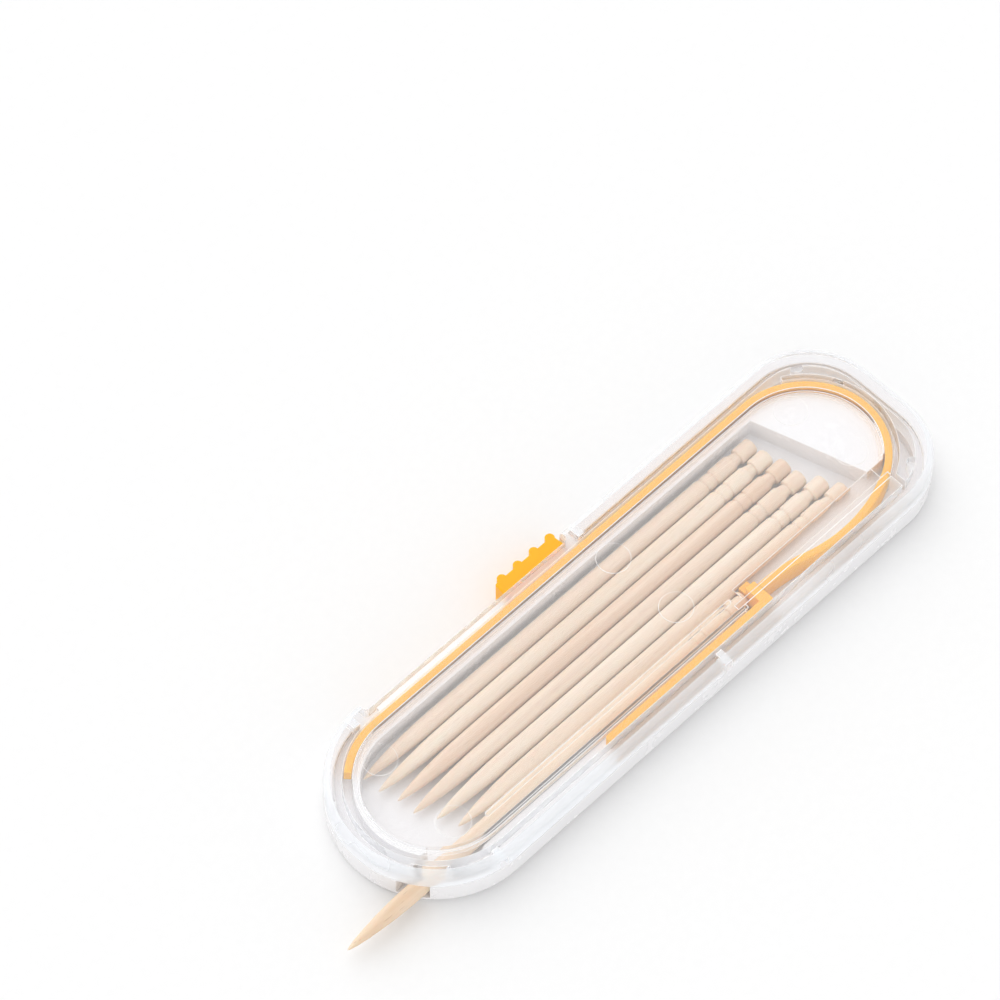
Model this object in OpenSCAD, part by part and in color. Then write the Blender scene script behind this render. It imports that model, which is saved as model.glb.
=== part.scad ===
// Pocket toothpick dispenser: white tray, clear clip-on cover, orange slide band
// and seven toothpicks, one of them pushed part way out of the round end.
// +X runs along the case towards its square end, +Y towards the knob, +Z up.
// The origin is the middle of the flat underside of the tray.

/* [Toothpicks] */
// Length of a toothpick
pick_l = 65; // [60:0.5:80]
// Diameter of a toothpick
pick_d = 2.25; // [2:0.05:2.5]
// Gap between neighbouring toothpicks
pick_gap = 0.15; // [0.1:0.05:0.3]
// Length of the tapered tip
tip_l = 12; // [8:0.5:15]

/* [Case] */
// Length of the case beyond the length of a toothpick
end_room = 24.4; // [24:0.2:30]
// Room left over beside the row of toothpicks
side_room = 0.66; // [0.6:0.02:1]
// Corner radius of the square end, in plan
corner_r = 9.5; // [6:0.5:10]
// How much further the turn's middle is from the square end than from the sides
turn_gap = 0.65; // [0.6:0.05:2]

/* [Tray] */
// Height of the tray's rim above the toothpicks
rim_room = 0.35; // [0.3:0.05:0.6]
// Thickness of the tray's outer wall
tray_wall = 1.2; // [1:0.1:1.5]
// Thickness of the tray's floor
floor_t = 1.2; // [1:0.1:1.5]
// Rounding along the tray's bottom edge
tray_edge_r = 1.1; // [0.5:0.1:1.5]
// Thickness of the wall between compartment and band
core_wall = 0.85; // [0.6:0.05:1]
// Height of that wall and of the raised end step above the rim
core_rise = 0.5; // [0.3:0.05:0.7]
// Depth of the track floor below the rim
track_drop = 1.5; // [1.3:0.1:1.8]
// Width of the rail beside the dispensing channel
ledge_w = 2.1; // [2:0.1:2.4]
// Slant of the raised step's front face, in degrees
step_slant = 17.5; // [0:0.1:25]
// How far the step's front lies from the middle of the band's turn
step_setback = 1.9; // [0.8:0.1:2.2]

/* [Cover] */
// Thickness of the cover's top plate
plate_t = 1; // [0.8:0.1:1.2]
// Rounding along the cover's top edge
cover_edge_r = 1; // [0.5:0.1:1.2]
// Thickness of the lip inside the tray's rim
lip_t = 0.95; // [0.8:0.05:1.2]
// Play between the lip and the tray's rim
lip_play = 0.1; // [0.05:0.05:0.2]
// Depth of the step in the tray's wall that takes the lip
lip_h = 0.9; // [0.7:0.05:1.1]
// Thickness of the guide wall round the band's turn
guide_t = 0.6; // [0.5:0.05:0.8]
// Thickness of the rib that hangs over the core wall
core_rib_t = 0.55; // [0.4:0.05:0.7]
// Width of the shallow pad over the pusher's path
pad_w = 1.7; // [1.4:0.1:2]
// Width of the shallow guide rib along that pad
guide_rib_w = 0.7; // [0.5:0.1:0.9]
// Width of the shallow rib above the dispensing channel
thin_rib_w = 0.6; // [0.4:0.1:0.8]
// Length of that rib
thin_rib_l = 40; // [34:0.5:41]
// Width of each relief slot in the cover's wall
relief_w = 1; // [0.6:0.1:1.4]
// Diameter of the ejector posts in the far corners
post_d = 1.5; // [1.2:0.1:1.8]

/* [Slide band] */
// Thickness of the band
band_t = 0.9; // [0.7:0.05:1.1]
// Height of the band
band_h = 2.95; // [2.6:0.05:3.5]
// Play between the band and each side of its track
band_play = 0.2; // [0.15:0.05:0.25]
// Play above and below the band
band_lift = 0.15; // [0.1:0.05:0.25]
// Radius of the bow between the band's turn and the pusher
bow_r = 21; // [20:0.5:28]
// Length of the knob
knob_l = 10; // [8:0.5:12]
// Height of the knob above the notch floor
knob_reach = 2.8; // [2:0.1:3]
// Angle of the tail round the end at rest, in degrees
tail_angle = 41; // [20:1:50]
// Length of the pusher's finger
finger_l = 26; // [15:1:30]
// Length of the pusher block along the case
block_l = 1.5; // [1.2:0.1:2.4]

/* [Hidden] */
$fn = 64;

// one overrun for every cut, and a small overlap where two arcs of a strip join, in degrees
cut = 0.5;
seam_at = 0.4;
square_at = 90;

// the stored toothpicks: gaps between their heads and the step's slanted front
head_gap_shares = [0.93, 1.18, 1.21, 1.49, 1.2, 1.05];
row_count = len(head_gap_shares);
pick_pitch = pick_d + pick_gap;
pick_side_play = 0.24;
pick_lift = 0.05;
pick_z = floor_t + pick_lift + pick_d / 2;

// the track's outer radius is half of all that lies across the case inside it
across = ledge_w + pick_side_play + pick_d + row_count * pick_pitch + side_room
    + core_wall + band_t + 2 * band_play;
track_r = across / 2;
band_r = track_r - band_play - band_t / 2;

// plan of the case, which fits round the track and the toothpicks' length
half_w = track_r + lip_t + lip_play + tray_wall;
case_w = 2 * half_w;
case_l = pick_l + end_room;
near_x = half_w - case_l / 2;
far_x = case_l / 2;
turn_x = far_x - half_w - turn_gap;

// heights, from the toothpicks and the band
tray_h = floor_t + pick_d + rim_room;
core_h = tray_h + core_rise;
track_floor_h = tray_h - track_drop;
band_z0 = track_floor_h + band_lift;
band_z1 = band_z0 + band_h;
ceiling = band_z1 + 2 * band_lift;
case_h = ceiling + plate_t;
lip_seat_h = tray_h - lip_h;
seat_gap = 0.05;
lip_z0 = lip_seat_h + 2 * seat_gap;
// the tail's lower edge is cut back to pass over a toothpick in the way out
tail_z0 = tray_h;

// the dispensing channel, on the -Y side
channel_out_y = -(track_r - ledge_w);
channel_y = channel_out_y + pick_side_play + pick_d / 2;
channel_in_y = channel_y + pick_d / 2 + pick_side_play / 2;
row_y0 = channel_y + pick_pitch;
exit_play = 0.81;
exit_w = pick_d + pick_side_play + exit_play;
ledge_lead = 2;
ledge_near_x = near_x - ledge_lead;
wall_join = 0.1;

// the band's way out of the turn: a tighter arc, then a bow, then a short reverse arc
exit_turn_at = 25.7;
exit_tighten = 0.8;
exit_turn_r = band_r - exit_tighten;
bow_slope = 26;
bow_end_slope = 16;
bow_back_r = 23.6;
bow_end_l = 0.66;
block_step = 0.6;
turn_c = [turn_x, 0];
exit_c = turn_c + exit_tighten * [cos(exit_turn_at), sin(exit_turn_at)];
exit_end_at = bow_slope - square_at;
exit_end = exit_c + exit_turn_r * [cos(exit_end_at), sin(exit_end_at)];
bow_c = exit_end + bow_r * [-sin(bow_slope), cos(bow_slope)];
bow_end = bow_c + bow_r * [-sin(bow_end_slope), -cos(bow_end_slope)];
back_c = bow_end + bow_back_r * [-sin(bow_end_slope), -cos(bow_end_slope)];
back_end = back_c + [0, bow_back_r];
end_wall_x = exit_end[0];

// the pusher: block, toe and finger. It stops just short of the end wall
block_x1 = back_end[0] - bow_end_l;
block_x0 = block_x1 - block_l;
block_y1 = back_end[1] + band_t / 2 + block_step;
block_y0 = -(track_r - band_play);
stop_play = 0.4;
travel = end_wall_x - block_x1 - stop_play;
toe_z0 = floor_t + band_lift;
toe_h = 2;
toe_play = 0.2;
out_gap = 0.2;

// the notch for the knob, on the +Y side: room for the knob and its travel
knob_play = 0.1;
knob_end_play = 0.3;
knob_spare = 1;
notch_depth = 1.45;
notch_x0 = near_x;
notch_l = knob_l + travel + knob_spare + 2 * knob_end_play;
notch_x1 = notch_x0 + notch_l;
notch_y = half_w - notch_depth;
notch_corner_r = 0.6;
notch_wall_clear = 1.2;

// the knob and its neck
knob_z0 = floor_t + band_lift;
knob_z1 = band_z1;
knob_x1 = notch_x1 - knob_end_play;
knob_x0 = knob_x1 - knob_l;
ridge_r = 0.62;
ridges = 4;
ridge_margin = 0.75;
knob_taper = 0.2;
neck_t = 1.6;
neck_inset = 0.6;
neck_z0 = tray_h - neck_t / 2;
slot_play = 0.2;

// turned head and tapered tip of a toothpick
knurl_l = 2.5;
groove_l = 1.1;
segment_l = 3.1;
ring_l = 0.7;
groove_depth = 0.25;
tip_r = 0.12;
taper_shares = [[0.25, 0.93], [0.5, 0.74], [0.75, 0.45]];

// ribs, posts and reliefs of the cover
rib_lift = 0.1;
rib_end_gap = 0.2;
core_rib_r = band_r - band_t / 2 - band_play - core_rib_t;
core_rib_end = 1.7;
core_rib_x1 = block_x0 - core_rib_end;
guide_rib_z0 = band_z1 + rib_lift;
guide_rib_lead = 2.7;
pad_lead = 1.3;
pad_x0 = block_x0 - pad_lead;
pad_y0 = guide_rib_w - core_rib_r;
pad_x1 = step_x(pad_y0 + pad_w) - rib_end_gap;
thin_rib_z0 = ceiling - lip_h / 2;
thin_rib_start = 0.9;
thin_rib_x0 = near_x + thin_rib_start;
guide_start_at = 60;
relief_depth = 1.9;
relief_top = ceiling - rib_lift;
relief_setback = 1.8;
post_inset_x = 5.7;
post_inset_y = 3.6;
post_l = 2;
mark_d = 4.2;
mark_depth = 0.08;
mark_shares = [
    [-0.383, -0.209], [-0.387, 0.236], [0.044, 0.238],
    [0.049, -0.139], [0.39, -0.124], [0.379, 0.219]
];

// where the step's slanted front stands at the width y
function step_x(y) = turn_x + step_setback - tan(step_slant) * y;

// section of a case-shaped solid, from its middle to the radius r
module edge_section(r, z0, z1, low_r, high_r) {
    difference() {
        translate([0, z0]) square([r, z1 - z0]);
        if (low_r > 0)
            translate([r - low_r, z0]) difference() {
                translate([0, -cut]) square([low_r + cut, low_r + cut]);
                translate([0, low_r]) circle(low_r);
            }
        if (high_r > 0)
            translate([r - high_r, z1 - high_r]) difference() {
                square([high_r + cut, high_r + cut]);
                circle(high_r);
            }
    }
}

// solid in the plan shape of the case, drawn in by inset, with rounded lower or upper edges
module case_solid(inset, z0, z1, low_r = 0, high_r = 0) {
    r = half_w - inset;
    cr = corner_r - inset;
    cx = far_x - corner_r;
    translate([near_x, 0, 0]) rotate([0, 0, 90])
        rotate_extrude(angle = 2 * square_at) edge_section(r, z0, z1, low_r, high_r);
    for (span = [cx, near_x])
        mirror([span < 0 ? 1 : 0, 0, 0]) rotate([90, 0, 90]) linear_extrude(abs(span)) {
            edge_section(r, z0, z1, low_r, high_r);
            mirror([1, 0]) edge_section(r, z0, z1, low_r, high_r);
        }
    for (side = [0, 1])
        mirror([0, side, 0]) translate([cx, r - cr, 0])
            rotate_extrude(angle = square_at) edge_section(cr, z0, z1, low_r, high_r);
    translate([cx, r - cr, 0]) rotate([90, 0, 0])
        linear_extrude(2 * (r - cr)) edge_section(cr, z0, z1, low_r, high_r);
}

// plan of the case drawn in by inset
module case_plan(inset) {
    r = half_w - inset;
    cr = corner_r - inset;
    cx = far_x - corner_r;
    translate([near_x, 0]) circle(r);
    translate([near_x, -r]) square([cx - near_x, 2 * r]);
    for (side = [-1, 1])
        translate([cx, side * (r - cr)]) circle(cr);
    translate([cx, -(r - cr)]) square([cr, 2 * (r - cr)]);
}

// round-ended plan of radius r between the two middles of the track
module track_plan(r) {
    translate([near_x, 0]) circle(r);
    translate([turn_x, 0]) circle(r);
    translate([near_x, -r]) square([turn_x - near_x, 2 * r]);
}

// wedge from the origin between two angles less than a half turn apart
module wedge(a0, a1, reach) {
    m = (a0 + a1) / 2;
    far = reach / cos((a1 - a0) / 4);
    polygon([
        [0, 0],
        reach * [cos(a0), sin(a0)],
        far * [cos((a0 + m) / 2), sin((a0 + m) / 2)],
        far * [cos((a1 + m) / 2), sin((a1 + m) / 2)],
        reach * [cos(a1), sin(a1)]
    ]);
}

// strip of thickness t along an arc of radius r
module arc_strip(c, r, t, a0, a1) {
    translate(c) intersection() {
        difference() {
            circle(r + t / 2);
            circle(r - t / 2);
        }
        wedge(a0, a1, r + t);
    }
}

// plan inside the band all the way round, gap away from the band's inner face
module inside_band(gap) {
    r1 = band_r - band_t / 2 - gap;
    r2 = exit_turn_r - band_t / 2 - gap;
    translate([near_x, 0]) circle(r1);
    translate([near_x, -r1]) square([turn_x - near_x, 2 * r1]);
    translate(turn_c) intersection() {
        circle(r1);
        wedge(exit_turn_at, square_at + exit_turn_at, half_w);
    }
    translate(exit_c) circle(r2);
}

// wall between the compartment and the band, open where toothpicks pass
module core_wall_plan() {
    difference() {
        inside_band(band_play);
        inside_band(band_play + core_wall);
        beyond_y(channel_out_y + exit_w, near_x - half_w, turn_x);
        beyond_y(channel_in_y, turn_x, far_x);
    }
}

// everything on the channel's side of the line y
module beyond_y(y, x0, x1) {
    translate([x0, -case_w]) square([x1 - x0, case_w + y]);
}

// plan of the notch for the knob, grown by more on its closed sides
module notch_plan(more) {
    translate([notch_x0 - more, notch_y - more]) difference() {
        square([notch_l + 2 * more, notch_depth + more + cut]);
        for (end = [0, 1])
            translate([end * (notch_l + 2 * more), 0]) mirror([end, 0]) difference() {
                translate([-cut, -cut]) square(notch_corner_r + cut);
                translate([notch_corner_r, notch_corner_r]) circle(notch_corner_r);
            }
    }
}

// block that cuts the way out for a toothpick through the round end
module exit_cut(z0, z1) {
    translate([near_x - half_w - cut, channel_out_y, z0])
        cube([half_w + cut, exit_w, z1 - z0]);
}

// slot in the notch floor in which the knob's neck slides
module neck_slot(z0, z1) {
    x0 = knob_x0 + neck_inset - travel - slot_play;
    x1 = knob_x1 - neck_inset + slot_play;
    translate([x0, track_r - cut, z0]) cube([x1 - x0, notch_depth + 2 * cut, z1 - z0]);
}

module tray() {
    color("white") difference() {
        union() {
            difference() {
                case_solid(0, 0, tray_h, low_r = tray_edge_r);
                translate([0, 0, floor_t]) linear_extrude(tray_h)
                    case_plan(half_w - track_r);
                translate([0, 0, lip_seat_h]) linear_extrude(tray_h) difference() {
                    case_plan(tray_wall);
                    translate([notch_x0 - notch_wall_clear, track_r])
                        square([notch_l + 2 * notch_wall_clear, half_w]);
                }
            }
            linear_extrude(core_h) core_wall_plan();
            tray_step();
            tray_track();
            tray_ledge();
        }
        translate([0, 0, -cut]) linear_extrude(case_h + 2 * cut) notch_plan(0);
        exit_cut(floor_t, case_h);
        neck_slot(neck_z0 - slot_play, tray_h + cut);
    }
}

// raised D-shaped step that closes the compartment at the square end
module tray_step() {
    linear_extrude(core_h) difference() {
        inside_band(band_play);
        beyond_y(channel_in_y, near_x - half_w, far_x);
        translate([step_x(0), 0]) rotate(step_slant)
            translate([-2 * case_l, -case_l]) square([2 * case_l, 2 * case_l]);
    }
}

// raised floor of the band's track
module tray_track() {
    linear_extrude(track_floor_h) difference() {
        track_plan(track_r + wall_join);
        inside_band(band_play);
        beyond_y(channel_out_y + exit_w, near_x - half_w, turn_x);
        beyond_y(channel_in_y, turn_x, end_wall_x);
    }
}

// rail beside the dispensing channel, on which the pusher's finger slides
module tray_ledge() {
    w = ledge_w + wall_join;
    linear_extrude(track_floor_h) {
        translate([ledge_near_x + w / 2, channel_out_y - w])
            square([end_wall_x - ledge_near_x - w / 2, w]);
        translate([ledge_near_x + w / 2, channel_out_y - w / 2]) circle(w / 2);
    }
}

module cover() {
    z0 = tray_h + seat_gap;
    color([0.85, 0.9, 0.95, 0.4]) difference() {
        union() {
            difference() {
                case_solid(0, z0, case_h, high_r = cover_edge_r);
                translate([0, 0, z0 - cut]) linear_extrude(ceiling - z0 + cut)
                    case_plan(half_w - track_r);
            }
            cover_lip(z0);
            cover_ribs();
            cover_posts();
        }
        translate([0, 0, -cut]) linear_extrude(case_h + 2 * cut) notch_plan(0);
        neck_slot(0, neck_z0 + neck_t + slot_play);
        cover_reliefs(z0);
        ejector_marks();
    }
}

// lip that locates the cover inside the tray's rim
module cover_lip(z0) {
    difference() {
        translate([0, 0, lip_z0]) linear_extrude(z0 - lip_z0 + seat_gap) difference() {
            case_plan(tray_wall + lip_play);
            case_plan(half_w - track_r);
            translate([notch_x0 - notch_wall_clear - lip_play, 0])
                square([notch_l + 2 * (notch_wall_clear + lip_play), half_w]);
        }
        exit_cut(0, z0);
    }
}

// ribs that hang from the plate: over the core wall, round the turn and along the channel
module cover_ribs() {
    rib_z0 = core_h + rib_lift;
    guide_gap = band_t / 2 + band_play;
    translate([0, 0, rib_z0]) linear_extrude(ceiling - rib_z0 + seat_gap) difference() {
        inside_band(band_play);
        inside_band(band_play + core_rib_t);
        beyond_y(channel_in_y, core_rib_x1, far_x);
    }
    translate([0, 0, band_z0]) linear_extrude(ceiling - band_z0 + seat_gap) {
        arc_strip(turn_c, track_r + guide_t / 2, guide_t, exit_turn_at, guide_start_at);
        arc_strip(exit_c, exit_turn_r + guide_gap + guide_t / 2, guide_t,
            exit_end_at, exit_turn_at);
        translate([end_wall_x, lip_play - track_r])
            square([guide_t, track_r - lip_play + exit_end[1] - guide_gap]);
    }
    translate([end_wall_x, -track_r - cut, lip_z0])
        cube([guide_t, 2 * cut, ceiling - lip_z0 + seat_gap]);
    translate([pad_x0, pad_y0, ceiling - rib_lift])
        cube([pad_x1 - pad_x0, pad_w, rib_lift + seat_gap]);
    translate([block_x0 - guide_rib_lead, -core_rib_r, guide_rib_z0])
        cube([end_wall_x - block_x0 + guide_rib_lead + seat_gap, guide_rib_w,
            ceiling - guide_rib_z0 + seat_gap]);
    translate([thin_rib_x0, channel_y - thin_rib_w / 2, thin_rib_z0])
        linear_extrude(ceiling - thin_rib_z0 + seat_gap) {
            square([thin_rib_l, thin_rib_w]);
            for (x = [0, thin_rib_l])
                translate([x, thin_rib_w / 2]) circle(thin_rib_w / 2);
        }
}

// short posts in the far corners, on which the moulding was pushed out
module cover_posts() {
    for (side = [-1, 1])
        translate([far_x - post_inset_x, side * (half_w - post_inset_y), ceiling - post_l])
            cylinder(h = post_l + seat_gap, d = post_d);
}

// slots that let the cover's wall spring over the tray's rim
module cover_reliefs(z0) {
    for (x = [near_x - relief_setback, notch_x1 + relief_setback], side = [-1, 1])
        translate([x - relief_w / 2, side * half_w - (side > 0 ? relief_depth : cut), z0 - cut])
            cube([relief_w, relief_depth + cut, relief_top - z0 + cut]);
}

// round marks that the ejector pins left on the plate's underside
module ejector_marks() {
    for (share = mark_shares)
        translate([share[0] * case_l, share[1] * case_w, ceiling - cut])
            cylinder(h = cut + mark_depth, d = mark_d);
}

module slider() {
    y0 = notch_y + knob_play;
    y1 = notch_y + knob_reach;
    step = (knob_l - 2 * ridge_r - ridge_margin) / (ridges - 1);
    color("orange") {
        translate([knob_x0, 0, knob_z0]) linear_extrude(knob_z1 - knob_z0) {
            polygon([
                [0, y0],
                [knob_l, y0],
                [knob_l - knob_taper, y1 - ridge_r],
                [knob_taper, y1 - ridge_r]
            ]);
            for (i = [0 : ridges - 1])
                translate([ridge_margin + ridge_r + i * step, y1 - ridge_r]) circle(ridge_r);
        }
        translate([knob_x0 + neck_inset, band_r + band_t / 2, neck_z0])
            cube([knob_l - 2 * neck_inset, y0 - band_r - band_t / 2 + knob_play, neck_t]);
    }
}

module band() {
    color("orange") translate([0, 0, band_z0]) linear_extrude(band_z1 - band_z0) {
        translate([near_x, band_r - band_t / 2]) square([turn_x - near_x, band_t]);
        arc_strip(turn_c, band_r, band_t, exit_turn_at, square_at + seam_at);
        arc_strip(exit_c, exit_turn_r, band_t, exit_end_at, exit_turn_at + seam_at);
    }
}

module band_tail() {
    color("orange") translate([0, 0, tail_z0]) linear_extrude(band_z1 - tail_z0)
        arc_strip([near_x, 0], band_r, band_t, square_at, square_at + tail_angle);
}

module band_bow() {
    color("orange") translate([0, 0, band_z0]) linear_extrude(band_z1 - band_z0) {
        arc_strip(bow_c, bow_r, band_t, -square_at - bow_end_slope, exit_end_at);
        arc_strip(back_c, bow_back_r, band_t, square_at - bow_end_slope - seam_at, square_at);
        translate([block_x1, back_end[1] - band_t / 2])
            square([back_end[0] - block_x1, band_t]);
    }
}

module pusher() {
    fx = block_x0 - finger_l;
    color("orange") {
        translate([block_x0, block_y0, band_z0])
            cube([block_l, block_y1 - block_y0, band_z1 - band_z0]);
        translate([block_x0, channel_out_y + toe_play, toe_z0])
            cube([block_l, channel_in_y - channel_out_y - 2 * toe_play, toe_h]);
        translate([0, 0, band_z0]) linear_extrude(band_z1 - band_z0) {
            translate([fx + band_t / 2, block_y0]) square([finger_l - band_t / 2, band_t]);
            translate([fx + band_t / 2, block_y0 + band_t / 2]) circle(band_t / 2);
        }
    }
}

// toothpick along X with its head end at x = 0 and its tip towards -X
module toothpick() {
    r = pick_d / 2;
    neck = r - groove_depth;
    ring = r - groove_depth / 2;
    g1 = knurl_l;
    g2 = g1 + groove_l;
    g3 = g2 + segment_l;
    g4 = g3 + groove_l;
    g5 = g4 + ring_l;
    shoulder = pick_l - tip_l;
    color("burlywood") rotate([0, -90, 0]) rotate_extrude() polygon(concat(
        [
            [0, 0],
            [r - groove_depth, 0],
            [r, groove_depth],
            [r, g1 - groove_depth],
            [neck, g1],
            [neck, g2 - groove_depth],
            [r, g2],
            [r, g3 - groove_depth],
            [neck, g3],
            [neck, g4 - groove_depth],
            [ring, g4],
            [ring, g5 - groove_depth],
            [r, g5],
            [r, shoulder]
        ],
        [for (share = taper_shares) [r * share[1], shoulder + tip_l * share[0]]],
        [[tip_r, pick_l - tip_r], [0, pick_l]]
    ));
}

// stored toothpick in row place i, counted from the knob's side
module row_toothpick(i) {
    y = row_y0 + (row_count - 1 - i) * pick_pitch;
    translate([step_x(y) - head_gap_shares[i] * pick_d, y, pick_z]) toothpick();
}

module toothpick_out() {
    translate([block_x0 - out_gap, channel_y, pick_z + pick_lift]) toothpick();
}

tray();
cover();
slider();
band();
band_tail();
band_bow();
pusher();
row_toothpick(0);  // toothpick_1
row_toothpick(1);  // toothpick_2
row_toothpick(2);  // toothpick_3
row_toothpick(3);  // toothpick_4
row_toothpick(4);  // toothpick_5
row_toothpick(5);  // toothpick_6
toothpick_out();
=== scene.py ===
from math import cos, pi, radians, sin

import bmesh
import bpy
from mathutils import Matrix, Vector, noise


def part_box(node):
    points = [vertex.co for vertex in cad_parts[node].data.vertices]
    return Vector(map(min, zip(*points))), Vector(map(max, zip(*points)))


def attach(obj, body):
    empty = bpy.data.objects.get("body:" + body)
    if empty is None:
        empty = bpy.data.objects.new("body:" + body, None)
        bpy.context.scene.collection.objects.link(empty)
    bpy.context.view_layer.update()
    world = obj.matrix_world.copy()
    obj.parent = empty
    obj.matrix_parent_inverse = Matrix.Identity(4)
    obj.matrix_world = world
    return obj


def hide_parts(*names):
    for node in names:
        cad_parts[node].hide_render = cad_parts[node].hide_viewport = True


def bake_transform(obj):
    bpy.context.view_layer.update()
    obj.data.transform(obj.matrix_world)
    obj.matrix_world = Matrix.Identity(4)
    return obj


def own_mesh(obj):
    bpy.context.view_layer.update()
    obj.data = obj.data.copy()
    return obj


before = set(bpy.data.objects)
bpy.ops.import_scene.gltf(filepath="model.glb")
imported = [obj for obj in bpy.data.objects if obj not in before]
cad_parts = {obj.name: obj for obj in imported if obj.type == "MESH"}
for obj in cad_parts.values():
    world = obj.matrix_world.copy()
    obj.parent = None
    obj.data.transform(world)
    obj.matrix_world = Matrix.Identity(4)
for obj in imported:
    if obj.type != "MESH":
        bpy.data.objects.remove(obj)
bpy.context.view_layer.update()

# Camera at the photograph's angle: above the front left, on a long lens.
# The case lies along X with its round end to the left and the knob on +Y.
camera_data = bpy.data.cameras.new("photo_camera")
camera_data.lens = 180
camera_data.sensor_width = 36
camera_data.clip_start = 0.01
camera = bpy.data.objects.new("photo_camera", camera_data)
camera.location = (-0.22125, -0.20143, 0.51318)
camera.rotation_euler = (radians(31.78), 0, radians(-44.80))
bpy.context.scene.collection.objects.link(camera)
bpy.context.scene.camera = camera
bpy.context.scene.view_settings.view_transform = "Standard"

# Floor and light: a sheet of pale paper in a white studio tent, which is brighter low down all
# round than overhead. A wide soft lamp over the knob's side casts the soft shadow to the front,
# and a weaker one at the camera's side lights the walls that face it.
def link(name, bm, smooth=True):
    """Writes a bmesh to a new object at the origin."""
    mesh = bpy.data.meshes.new(name)
    bm.to_mesh(mesh)
    bm.free()
    if "custom_normal" in mesh.attributes:
        mesh.attributes.remove(mesh.attributes["custom_normal"])
    for face in mesh.polygons:
        face.use_smooth = smooth
    piece = bpy.data.objects.new(name, mesh)
    bpy.context.scene.collection.objects.link(piece)
    return piece


def node(tree, kind, inputs=None, **settings):
    """New node; an input takes a plain value or another node's output."""
    made = tree.nodes.new(kind)
    for key, value in settings.items():
        setattr(made, key, value)
    for key, value in (inputs or {}).items():
        if isinstance(value, bpy.types.NodeSocket):
            tree.links.new(value, made.inputs[key])
        else:
            made.inputs[key].default_value = value
    return made


def mixed(tree, share, first, second):
    """Colour between two colours."""
    made = node(tree, "ShaderNodeMix", {0: share, 6: first, 7: second}, data_type="RGBA")
    return made.outputs[2]


def finish_of(name, **plain):
    """New material: its tree, its Principled shader and the object coordinates."""
    material = bpy.data.materials.new(name)
    material.use_nodes = True
    tree = material.node_tree
    shader = tree.nodes["Principled BSDF"]
    for key, value in plain.items():
        shader.inputs[key.replace("_", " ")].default_value = value
    return material, tree, shader, node(tree, "ShaderNodeTexCoord").outputs["Object"]


SHEET_R, SHEET_SIDES = 2.5, 96
PAPER, PAPER_TOOTH = (0.885, 0.885, 0.885, 1), (0.91, 0.91, 0.91, 1)
floor_mesh = bmesh.new()
bmesh.ops.create_circle(floor_mesh, cap_ends=True, segments=SHEET_SIDES, radius=SHEET_R)
floor = link("floor", floor_mesh, smooth=False)
paper, tree, shader, place = finish_of("pale_paper", Roughness=0.9)
tooth = node(tree, "ShaderNodeTexNoise", {"Vector": place, "Scale": 900.0})
tree.links.new(mixed(tree, tooth.outputs["Fac"], PAPER, PAPER_TOOTH),
               shader.inputs["Base Color"])
floor.data.materials.append(paper)

LOW_LIGHT, LOW_AT = 1.0, 0.2
TOP_LIGHT, TOP_AT = 0.42, 0.9
LAMPS = ((1.25, (0.12, 0.50, 0.86)), (0.4, (-0.45, -0.60, 0.66)))
LAMP_EDGE, LAMP_CORE = radians(50), radians(20)  # a lamp fades out between these angles
world = bpy.data.worlds.new("studio_tent")
world.use_nodes = True
tent = world.node_tree
towards = node(tent, "ShaderNodeTexCoord").outputs["Generated"]
height = node(tent, "ShaderNodeSeparateXYZ", {0: towards})
light = node(tent, "ShaderNodeMapRange", {
    "Value": height.outputs["Z"], "From Min": LOW_AT, "From Max": TOP_AT,
    "To Min": LOW_LIGHT, "To Max": TOP_LIGHT}).outputs["Result"]
for strength, lamp_towards in LAMPS:
    facing = node(tent, "ShaderNodeVectorMath", {0: towards, 1: Vector(lamp_towards).normalized()},
                  operation="DOT_PRODUCT")
    softbox = node(tent, "ShaderNodeMapRange", {
        "Value": facing.outputs["Value"], "From Min": cos(LAMP_EDGE),
        "From Max": cos(LAMP_CORE), "To Min": 0.0, "To Max": strength},
        interpolation_type="SMOOTHSTEP")
    light = node(tent, "ShaderNodeMath", {0: light, 1: softbox.outputs["Result"]},
                 operation="ADD").outputs[0]
tent.links.new(light, tent.nodes["Background"].inputs["Strength"])
tent.nodes["Background"].inputs["Color"].default_value = (1.0, 1.0, 1.0, 1)
bpy.context.scene.world = world


# Tray: the white base with its compartment, its track for the band and the raised D-shaped end.
# It is one injection moulding in glossy white plastic, with edges softened by the mould.
MM = 0.001
MERGE, FLAT, SHARP_FROM, SMOOTH_TURN = 0.02 * MM, radians(0.5), radians(32), radians(35)


def run_on(edge, sharp):
    """Sharp edges that carry on from an edge without a corner, with the turn between them."""
    for vert in edge.verts:
        away = edge.other_vert(vert).co - vert.co
        for other in vert.link_edges:
            turn = pi - away.angle(other.other_vert(vert).co - vert.co, pi)
            if other is not edge and other in sharp and turn < SMOOTH_TURN:
                yield other, turn


# The shares of an edge, a neighbour and a face that a softened edge may take up, and how far
# a neighbour has to lean off the edge, or run against it, before it takes room from it.
BEND_SHARE, END_SHARE, NEIGHBOUR_SHARE, FACE_SHARE = 0.45, 0.3, 0.45, 0.4
LEAST_TURN, LEAST_LEAN, LEAST_AGAINST = 0.01, 0.3, 0.1


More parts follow.
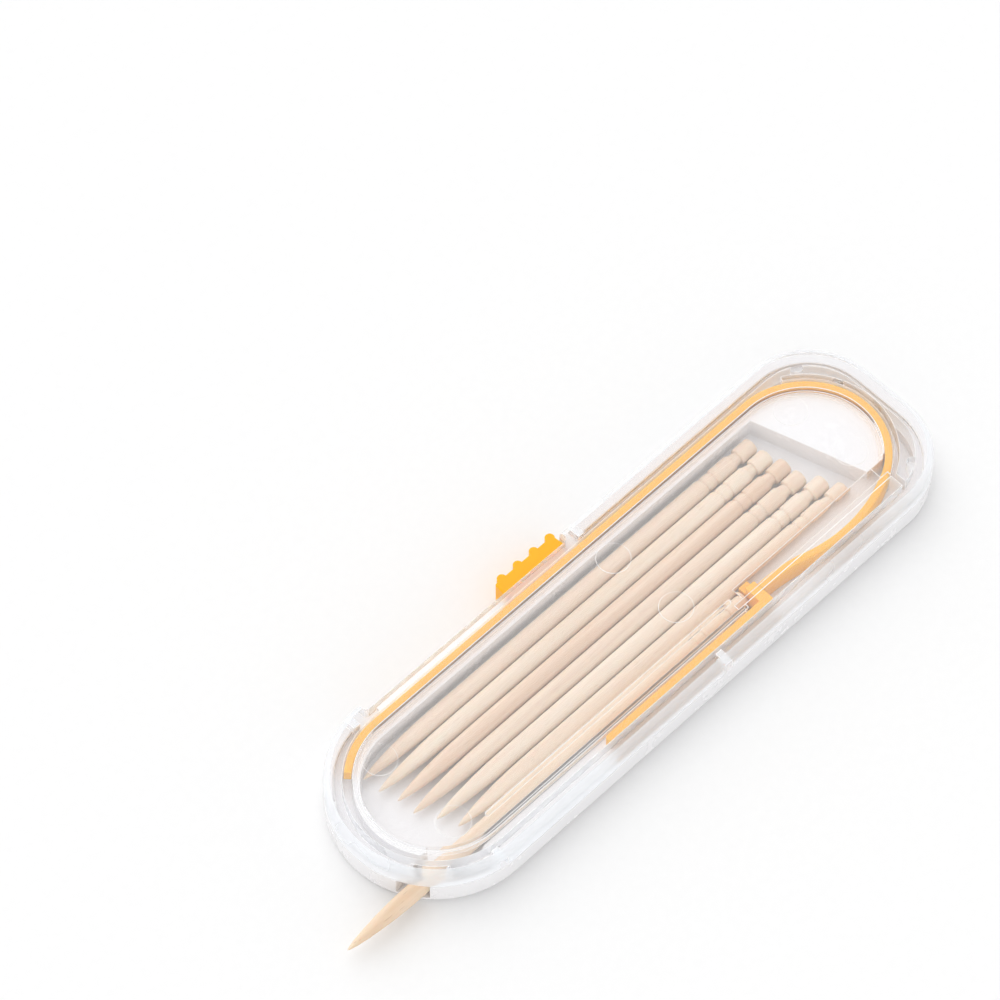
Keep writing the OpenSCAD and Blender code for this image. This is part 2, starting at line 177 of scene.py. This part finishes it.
def room_beside(edge, sharp):
    """Widest softening that a sharp edge and the faces beside it have room for."""
    middle = (edge.verts[0].co + edge.verts[1].co) / 2
    run = (edge.verts[1].co - edge.verts[0].co).normalized()
    turns = [turn for other, turn in run_on(edge, sharp)]
    room = BEND_SHARE * edge.calc_length() / max(turns + [LEAST_TURN])
    if len(turns) < 2:
        room = END_SHARE * edge.calc_length()
    for vert in edge.verts:
        for other in vert.link_edges:
            reach = other.other_vert(vert).co - vert.co
            away = reach.cross(run).length
            if away > LEAST_LEAN * reach.length:
                room = min(room, NEIGHBOUR_SHARE * away)
    for loop in edge.link_loops:
        run = (loop.link_loop_next.vert.co - loop.vert.co).normalized()
        for other in loop.face.loops:
            reach = other.link_loop_next.vert.co - other.vert.co
            if reach.dot(run) < -LEAST_AGAINST * reach.length:
                share = (middle - other.vert.co).dot(reach) / reach.length_squared
                across = middle - other.vert.co - min(1, max(0, share)) * reach
                room = min(room, FACE_SHARE * across.length)
    return room


def worked_copy(cad_node, name, edge_r, rounds=2, edge_slot=-1):
    """Merged copy of a CAD node with softened edges, which stands for that node."""
    bm = bmesh.new()
    bm.from_mesh(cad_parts[cad_node].data)
    bmesh.ops.remove_doubles(bm, verts=bm.verts, dist=MERGE)
    bmesh.ops.dissolve_limit(bm, angle_limit=FLAT, verts=bm.verts, edges=bm.edges)
    share = bm.edges.layers.float.new("bevel_weight_edge")
    sharp = dict.fromkeys(edge for edge in bm.edges
                          if edge.is_manifold and edge.calc_face_angle() > SHARP_FROM)
    widths = {edge: min(edge_r, room_beside(edge, sharp)) for edge in sharp}
    joints = [(edge, other) for edge in sharp for other, turn in run_on(edge, sharp)]
    # Edges that run on smoothly take the narrowest width among them, or the faces between tear.
    uneven = True
    while uneven:
        uneven = False
        for edge, other in joints:
            if widths[other] > widths[edge]:
                widths[other] = widths[edge]
                uneven = True
    for edge, width in widths.items():
        edge[share] = width / edge_r
    piece = link(name, bm)
    soft = piece.modifiers.new("soft_edges", "BEVEL")
    soft.width = edge_r
    soft.segments = rounds
    soft.limit_method = "WEIGHT"
    soft.use_clamp_overlap = False
    soft.harden_normals = True
    soft.material = edge_slot
    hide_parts(cad_node)
    return piece


def coat(piece, *materials):
    """Gives a piece its materials, in place of any that came with its mesh."""
    piece.data.materials.clear()
    for material in materials:
        piece.data.materials.append(material)


def new_group(name, taken, given):
    """New node group, with the sockets that it takes and those that it gives."""
    group = bpy.data.node_groups.new(name, "ShaderNodeTree")
    for way, sockets in (("INPUT", taken), ("OUTPUT", given)):
        for socket, kind in sockets.items():
            group.interface.new_socket(socket, in_out=way, socket_type="NodeSocket" + kind)
    return (group, group.nodes.new("NodeGroupInput").outputs,
            group.nodes.new("NodeGroupOutput").inputs)


moulded, inside, outside = new_group(
    "moulded_plastic",
    {"Place": "Vector", "Colour": "Color", "Shade": "Color", "Smoothness": "Float"},
    {"Colour": "Color", "Roughness": "Float", "Height": "Float"})
flow = node(moulded, "ShaderNodeTexNoise", {
    "Vector": inside["Place"], "Scale": 55.0, "Detail": 3.0})
grain = node(moulded, "ShaderNodeTexNoise", {
    "Vector": inside["Place"], "Scale": 2600.0, "Detail": 2.0})
rub = node(moulded, "ShaderNodeTexNoise", {
    "Vector": inside["Place"], "Scale": 240.0, "Detail": 5.0, "Roughness": 0.7})
RUB_MOST = 0.12
worn = node(moulded, "ShaderNodeMapRange", {
    "Value": rub.outputs["Fac"], "From Min": 0.3, "From Max": 0.75, "To Min": 0.0,
    "To Max": RUB_MOST})
gloss = node(moulded, "ShaderNodeMath", {0: worn.outputs["Result"], 1: inside["Smoothness"]},
             operation="ADD")
moulded.links.new(mixed(moulded, flow.outputs["Fac"], inside["Colour"], inside["Shade"]),
                  outside["Colour"])
moulded.links.new(gloss.outputs[0], outside["Roughness"])
moulded.links.new(grain.outputs["Fac"], outside["Height"])


def dress(tree, shader, look, relief, depth):
    """Gives a shader the colour, roughness and relief of a look."""
    bump = node(tree, "ShaderNodeBump", {
        "Height": look.outputs["Height"], "Strength": relief, "Distance": depth})
    tree.links.new(look.outputs["Colour"], shader.inputs["Base Color"])
    tree.links.new(look.outputs["Roughness"], shader.inputs["Roughness"])
    tree.links.new(bump.outputs["Normal"], shader.inputs["Normal"])


MOULD_GRAIN = 0.01 * MM


def moulded_finish(name, colour, shade, smoothness, relief, **plain):
    """Plastic material with its own colours around the shared moulded look."""
    material, tree, shader, place = finish_of(name, **plain)
    look = node(tree, "ShaderNodeGroup", {
        "Place": place, "Colour": colour, "Shade": shade, "Smoothness": smoothness},
        node_tree=moulded)
    dress(tree, shader, look, relief, MOULD_GRAIN)
    return material


TRAY_EDGE_R = 0.1 * MM
tray = worked_copy("tray", "tray_moulding", TRAY_EDGE_R)
coat(tray, moulded_finish(
    "white_gloss", (0.865, 0.858, 0.87, 1), (0.89, 0.88, 0.89, 1), 0.2, 0.04))
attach(tray, "case")


# Knob: the ribbed thumb piece of the orange slide, outside the case in its notch. It is one
# moulding with the band, in orange polypropylene, and its neck passes through a slot to the band.
orange = moulded_finish("orange_polypropylene", (0.98, 0.43, 0.006, 1), (0.99, 0.48, 0.012, 1),
                        0.33, 0.5, Specular_IOR_Level=0.3, Subsurface_Weight=0.4,
                        Subsurface_Scale=0.002, Subsurface_Radius=(1.0, 0.35, 0.08))
KNOB_EDGE_R = 0.2 * MM
knob = worked_copy("slider", "knob", KNOB_EDGE_R, rounds=3)
coat(knob, orange)
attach(knob, "slider")


# Slide band: a flat strip on edge, which runs from the knob along the side and round the turn at
# the square end. It is moulded straight in the same orange plastic and bent into its track.
BAND_R, BAND_T, BAND_LOW, BAND_HIGH, BAND_EDGE_R = 10.25, 0.9, 2.45, 5.4, 0.14
# The strip runs straight from NEAR_X to TURN_X, round the turn to TURN_OUT degrees, and on the
# tighter exit arc to EXIT_AT degrees. Lengths are in millimetres.
NEAR_X, TURN_X, TURN_OUT = -31.55, 30.9, 25.7
EXIT_X, EXIT_Y, EXIT_R, EXIT_AT = 31.6209, 0.3469, 9.45, -64.0


def band_section(x, y, low, angle=90.0):
    """Open ring of edges: the band's section at a point, with its edges rounded."""
    bm = bmesh.new()
    corners = [bm.verts.new((0, side * BAND_T / 2, z))
               for side, z in ((-1, low), (1, low), (1, BAND_HIGH), (-1, BAND_HIGH))]
    bm.faces.new(corners)
    bmesh.ops.bevel(bm, geom=corners, offset=BAND_EDGE_R, segments=3, affect="VERTICES",
                    profile=0.5, material=-1)
    bmesh.ops.delete(bm, geom=bm.faces[:], context="FACES_ONLY")
    bmesh.ops.rotate(bm, verts=bm.verts, cent=(0, 0, 0), matrix=Matrix.Rotation(
        radians(angle - 90), 3, "Z"))
    bmesh.ops.translate(bm, verts=bm.verts, vec=(x, y, 0))
    return bm, bm.verts[:] + bm.edges[:]


def run_round(bm, end, x, y, angle, steps):
    """Carries the open end of a strip round an arc about (x, y)."""
    made = bmesh.ops.spin(bm, geom=end, cent=(x, y, 0), axis=(0, 0, 1), dvec=(0, 0, 0),
                          angle=radians(angle), steps=steps, use_duplicate=False)
    return made["geom_last"]


def run_straight(bm, end, length, steps):
    """Carries the open end of a strip along X."""
    for _ in range(steps):
        edges = [e for e in end if isinstance(e, bmesh.types.BMEdge)]
        made = bmesh.ops.extrude_edge_only(bm, edges=edges)["geom"]
        end = [g for g in made if not isinstance(g, bmesh.types.BMFace)]
        verts = [v for v in end if isinstance(v, bmesh.types.BMVert)]
        bmesh.ops.translate(bm, verts=verts, vec=(length / steps, 0, 0))
    return end


STRIP_MERGE, STRIP_SHARP = 0.002, radians(40)


def close_strip(bm, name):
    """Closes both ends of a strip, turns its faces outwards and brings it to metres."""
    bmesh.ops.holes_fill(bm, edges=bm.edges, sides=0)
    bmesh.ops.remove_doubles(bm, verts=bm.verts, dist=STRIP_MERGE)
    bmesh.ops.recalc_face_normals(bm, faces=bm.faces)
    bmesh.ops.scale(bm, vec=(MM, MM, MM), verts=bm.verts)
    piece = link(name, bm)
    piece.data.set_sharp_from_angle(angle=STRIP_SHARP)
    coat(piece, orange)
    return piece


bm, end = band_section(NEAR_X, BAND_R, BAND_LOW)
end = run_straight(bm, end, TURN_X - NEAR_X, 24)
end = run_round(bm, end, TURN_X, 0, TURN_OUT - 90, 26)
run_round(bm, end, EXIT_X, EXIT_Y, EXIT_AT - TURN_OUT, 36)
band = close_strip(bm, "band_strip")
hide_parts("band")
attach(band, "case")

# Tail of the band: it reaches round the near end, where the track guides it as the knob moves.
# It is the free end of the same orange strip, and here it stretches round as the slide is pushed.
TAIL_ANGLE, TAIL_LOW = 41.0, 3.8
bm, end = band_section(NEAR_X, BAND_R, TAIL_LOW)
run_round(bm, end, NEAR_X, 0, TAIL_ANGLE, 72)
tail = close_strip(bm, "band_tail_strip")
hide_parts("band_tail")
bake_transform(tail)

# Bow of the band: the thin springy curve between the turn and the pusher block. It is the same
# strip of orange plastic, which bows out against the channel's front wall.
BOW_X, BOW_Y, BOW_SWEEP = 26.5577, 10.728, -42.0
BACK_X, BACK_Y, BACK_SWEEP, BOW_FLAT = 14.2642, -32.1443, 16.0, -0.66
exit_end = radians(EXIT_AT)
bm, end = band_section(EXIT_X + EXIT_R * cos(exit_end), EXIT_Y + EXIT_R * sin(exit_end),
                       BAND_LOW, EXIT_AT)
end = run_round(bm, end, BOW_X, BOW_Y, BOW_SWEEP, 30)
end = run_round(bm, end, BACK_X, BACK_Y, BACK_SWEEP, 10)
run_straight(bm, end, BOW_FLAT, 1)
bow = close_strip(bm, "band_bow_strip")
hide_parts("band_bow")
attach(bow, "case")
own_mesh(bow)

# Pusher: the block at the slide's other end, with the toe that pushes a toothpick out and the
# long finger that runs on the rail. It is moulded in one with the band.
PUSHER_EDGE_R = 0.13 * MM
pusher = worked_copy("pusher", "pusher_block", PUSHER_EDGE_R)
coat(pusher, orange)
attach(pusher, "pusher")


# Toothpicks: six lie in the compartment and one in the channel, pushed part way out. Each is
# turned from pale birch, with a notched head at one end and a tapered tip at the other.
PICK_R = 1.125
HEAD = [(0.0, 0.0), (0.62, 0.0), (0.98, 0.04), (1.09, 0.16), (1.125, 0.4), (1.125, 2.2),
        (1.09, 2.42), (1.02, 2.5), (0.80, 2.52), (0.78, 2.62), (0.86, 3.1), (0.94, 3.5),
        (1.0, 3.62), (1.09, 3.74), (1.125, 3.95), (1.125, 6.3), (1.10, 6.6), (1.02, 6.72),
        (0.93, 6.78), (0.93, 6.86), (1.02, 6.98), (1.06, 7.3), (1.06, 8.0), (1.0, 8.2),
        (0.92, 8.27), (0.92, 8.34), (1.03, 8.46), (1.1, 8.66), (1.125, 8.95)]
TAPER = [(1.118, 54.0), (1.09, 56.0), (1.0, 58.0), (0.86, 60.0), (0.66, 62.0), (0.42, 63.6),
         (0.22, 64.5), (0.1, 64.88), (0.0, 65.0)]
SHAFT_STEP, SPIN_STEPS, PICK_MERGE, PICK_SHARP = 1.5, 40, 0.0005, radians(48)
# How deep the cut wood's unevenness goes, as shares of the radius, and how fast it changes.
UNDERSIZE, FIBRE_DEPTH, SWELL_DEPTH = 0.012, 0.014, 0.010
FIBRE_ALONG, FIBRE_ROUND, SWELL_ALONG = 0.05, 2.6, 0.16


def turned_pick(name, cad_node, seed):
    """Toothpick spun from its profile, then made a little uneven, as cut wood is."""
    profile = list(HEAD)
    reach = profile[-1][1] + SHAFT_STEP
    while reach < TAPER[0][1] - 0.5:
        profile.append((PICK_R, reach))
        reach += SHAFT_STEP
    profile += TAPER
    bm = bmesh.new()
    line = [bm.verts.new((-along, 0, radius)) for radius, along in profile]
    edges = [bm.edges.new(pair) for pair in zip(line, line[1:])]
    bmesh.ops.spin(bm, geom=line + edges, cent=(0, 0, 0), axis=(1, 0, 0), dvec=(0, 0, 0),
                   angle=2 * pi, steps=SPIN_STEPS, use_merge=True, use_duplicate=False)
    bmesh.ops.remove_doubles(bm, verts=bm.verts, dist=PICK_MERGE)
    bmesh.ops.recalc_face_normals(bm, faces=bm.faces)
    for vert in bm.verts:
        along, radius = vert.co.x, Vector((0, vert.co.y, vert.co.z)).length
        if radius > 0.05:
            fibre = noise.noise(Vector((along * FIBRE_ALONG, vert.co.y / radius * FIBRE_ROUND,
                                        vert.co.z / radius * FIBRE_ROUND + seed * 7.3)))
            swell = noise.noise(Vector((along * SWELL_ALONG, seed * 3.1, 0.5)))
            vert.co.yz = vert.co.yz * (1 - UNDERSIZE + FIBRE_DEPTH * min(0, fibre)
                                       + SWELL_DEPTH * min(0, swell))
    low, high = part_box(cad_node)
    middle = (low + high) / (2 * MM)
    bmesh.ops.translate(bm, verts=bm.verts, vec=(high.x / MM, middle.y, middle.z))
    bmesh.ops.scale(bm, vec=(MM, MM, MM), verts=bm.verts)
    piece = link(name, bm)
    piece.data.set_sharp_from_angle(angle=PICK_SHARP)
    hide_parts(cad_node)
    return piece


birch, inside, outside = new_group(
    "birch_grain", {"Place": "Vector", "Shift": "Vector", "Pale": "Color", "Dark": "Color"},
    {"Colour": "Color", "Roughness": "Float", "Height": "Float"})


def fibres(stretch, scale, detail, rough):
    """Noise drawn out along the wood's grain."""
    laid = node(birch, "ShaderNodeVectorMath", {0: inside["Place"], 1: inside["Shift"]},
                operation="ADD")
    drawn = node(birch, "ShaderNodeVectorMath", {0: laid.outputs[0], 1: (stretch, 1.0, 1.0)},
                 operation="MULTIPLY")
    return node(birch, "ShaderNodeTexNoise", {"Vector": drawn.outputs[0], "Scale": scale,
                                              "Detail": detail, "Roughness": rough}).outputs["Fac"]


def spread(value, low, high, bottom=0.0, top=1.0):
    """Value spread from one range to another."""
    return node(birch, "ShaderNodeMapRange", {"Value": value, "From Min": low, "From Max": high,
                                              "To Min": bottom, "To Max": top}).outputs["Result"]


rings = fibres(0.035, 1100.0, 4.0, 0.55)
fine = fibres(0.03, 5200.0, 3.0, 0.6)
pores = fibres(0.09, 7400.0, 1.0, 0.4)
tone = mixed(birch, spread(rings, 0.32, 0.72), inside["Pale"], inside["Dark"])
tone = mixed(birch, spread(fine, 0.5, 0.8, 0.0, 0.45), tone, inside["Dark"])
PORE_BROWN = (0.42, 0.27, 0.17, 1)
tone = mixed(birch, spread(pores, 0.68, 0.78, 0.0, 0.4), tone, PORE_BROWN)
birch.links.new(tone, outside["Colour"])
birch.links.new(spread(fine, 0.3, 0.8, 0.62, 0.8), outside["Roughness"])
birch.links.new(fine, outside["Height"])
GRAIN_RELIEF, GRAIN_DEPTH = 0.5, 0.05 * MM


def birch_finish(name, pale, dark, shift):
    """Birch of one toothpick, with its own tone and its own run of grain."""
    material, tree, shader, place = finish_of(
        name, Subsurface_Weight=0.35, Subsurface_Scale=0.0012, Subsurface_Radius=(1.0, 0.6, 0.4))
    look = node(tree, "ShaderNodeGroup", {
        "Place": place, "Shift": shift, "Pale": pale, "Dark": dark}, node_tree=birch)
    dress(tree, shader, look, GRAIN_RELIEF, GRAIN_DEPTH)
    return material


# Each toothpick's pale and dark tone, and the body that it moves with
TONES = {
    "toothpick_1": ((0.85, 0.69, 0.55, 1), (0.76, 0.58, 0.44, 1), "case"),
    "toothpick_2": ((0.88, 0.75, 0.61, 1), (0.79, 0.63, 0.48, 1), "case"),
    "toothpick_3": ((0.84, 0.66, 0.51, 1), (0.74, 0.53, 0.38, 1), "case"),
    "toothpick_4": ((0.85, 0.70, 0.55, 1), (0.76, 0.57, 0.43, 1), "case"),
    "toothpick_5": ((0.88, 0.75, 0.61, 1), (0.80, 0.63, 0.49, 1), "case"),
    "toothpick_6": ((0.87, 0.72, 0.57, 1), (0.78, 0.60, 0.45, 1), "case"),
    "toothpick_out": ((0.86, 0.70, 0.54, 1), (0.76, 0.57, 0.40, 1), "pick"),
}
for count, (cad_node, (pale, dark, body)) in enumerate(TONES.items()):
    pick = turned_pick("birch_" + cad_node, cad_node, count)
    coat(pick, birch_finish(
        "birch_" + cad_node, pale, dark, (0.011 * count, 0.013 * count, 0.007 * count)))
    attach(pick, body)


# Cover: the clear lid, with a flat plate, a thick rim, a lip inside the tray's wall and ribs
# over the channel. It is injection moulded in clear plastic and clips over the tray's rim.
COVER_EDGE_R = 0.09 * MM
CLEAR, SATIN, GLINT_EDGE, RIM, RIB = range(5)
# The lid's softened edges go to a slot of their own, whose milky white is a painted highlight
# along them.
cover = worked_copy("cover", "clear_lid", COVER_EDGE_R, edge_slot=GLINT_EDGE)
# The lid's outline, and the depths and heights that part its finishes, in millimetres
HALF_W, FAR_X, CORNER_R = 13.15, 44.7, 9.5
RIM_IN, WALL_IN, PLATE_LOW, PLATE_HIGH = 1, 2.3, 5.69, 6.69


def depth_inside(x, y):
    """Distance from a point to the lid's outline, in millimetres."""
    if x < NEAR_X:
        return HALF_W - Vector((x - NEAR_X, y)).length
    corner = Vector((x - FAR_X + CORNER_R, abs(y) - HALF_W + CORNER_R))
    if min(corner) > 0:
        return CORNER_R - corner.length
    return min(HALF_W - abs(y), FAR_X - x)


lid_haze, inside, outside = new_group(
    "lid_haze", {"Place": "Vector", "Least": "Float", "Most": "Float"}, {"Roughness": "Float"})
cloud = node(lid_haze, "ShaderNodeTexNoise", {
    "Vector": inside["Place"], "Scale": 60.0, "Detail": 3.0})
frost = node(lid_haze, "ShaderNodeMapRange", {
    "Value": cloud.outputs["Fac"], "From Min": 0.3, "From Max": 0.7, "To Min": inside["Least"],
    "To Max": inside["Most"]})
lid_haze.links.new(frost.outputs["Result"], outside["Roughness"])


def clear_finish(name, through, bend, least, most, tone, film_tone):
    """Clear plastic that lets a share of the light through and lights what lies under it."""
    material, tree, shader, place = finish_of(name, IOR=bend, Transmission_Weight=through,
                                              Base_Color=tone)
    haze = node(tree, "ShaderNodeGroup", {"Place": place, "Least": least, "Most": most},
                node_tree=lid_haze)
    tree.links.new(haze.outputs["Roughness"], shader.inputs["Roughness"])
    path = node(tree, "ShaderNodeLightPath").outputs
    film = node(tree, "ShaderNodeBsdfTransparent", {"Color": film_tone}).outputs[0]
    seen = node(tree, "ShaderNodeMixShader", {
        0: path["Is Diffuse Ray"], 1: shader.outputs[0], 2: film})
    lit = node(tree, "ShaderNodeMixShader", {
        0: path["Is Shadow Ray"], 1: seen.outputs[0], 2: film})
    tree.links.new(lit.outputs[0], tree.nodes["Material Output"].inputs["Surface"])
    return material


CLEAR_TONE, MILK_TONE = (1.0, 1.0, 1.0, 1), (0.95, 0.975, 1.0, 1)
FILM, MILK_FILM, RIM_FILM = (0.96, 0.96, 0.965, 1), (0.95, 0.95, 0.96, 1), (0.88, 0.88, 0.89, 1)
# Each finish: its name, the share of light let through, the refractive index, the least and the
# most haze, its own tone, and the tone of the light that passes on to what lies under it
FINISHES = {
    CLEAR: ("clear_polystyrene", 0.95, 1.45, 0.03, 0.07, CLEAR_TONE, FILM),
    SATIN: ("satin_polystyrene", 0.5, 1.04, 0.28, 0.34, MILK_TONE, MILK_FILM),
    # Painted highlight: the softened edges let little light through, so their white draws the
    # bright lines that the glints of the lid's rounded edges give.
    GLINT_EDGE: ("painted_glint_polystyrene", 0.12, 1.45, 0.3, 0.4, CLEAR_TONE, FILM),
    RIM: ("rim_polystyrene", 0.5, 1.3, 0.2, 0.28, MILK_TONE, RIM_FILM),
    RIB: ("rib_polystyrene", 0.9, 1.02, 0.1, 0.15, CLEAR_TONE, CLEAR_TONE),
}
coat(cover, *(clear_finish(*finish) for finish in FINISHES.values()))
for face in cover.data.polygons:
    x, y, z = face.center / MM
    depth = depth_inside(x, y)
    at_guide = x > TURN_X and Vector((x - TURN_X, y)).length > HALF_W - WALL_IN
    if z < PLATE_HIGH and depth < RIM_IN:
        face.material_index = RIM
    elif z < PLATE_LOW and (depth < WALL_IN or at_guide):
        face.material_index = SATIN
    elif z < PLATE_LOW:
        face.material_index = RIB
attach(cover, "cover")
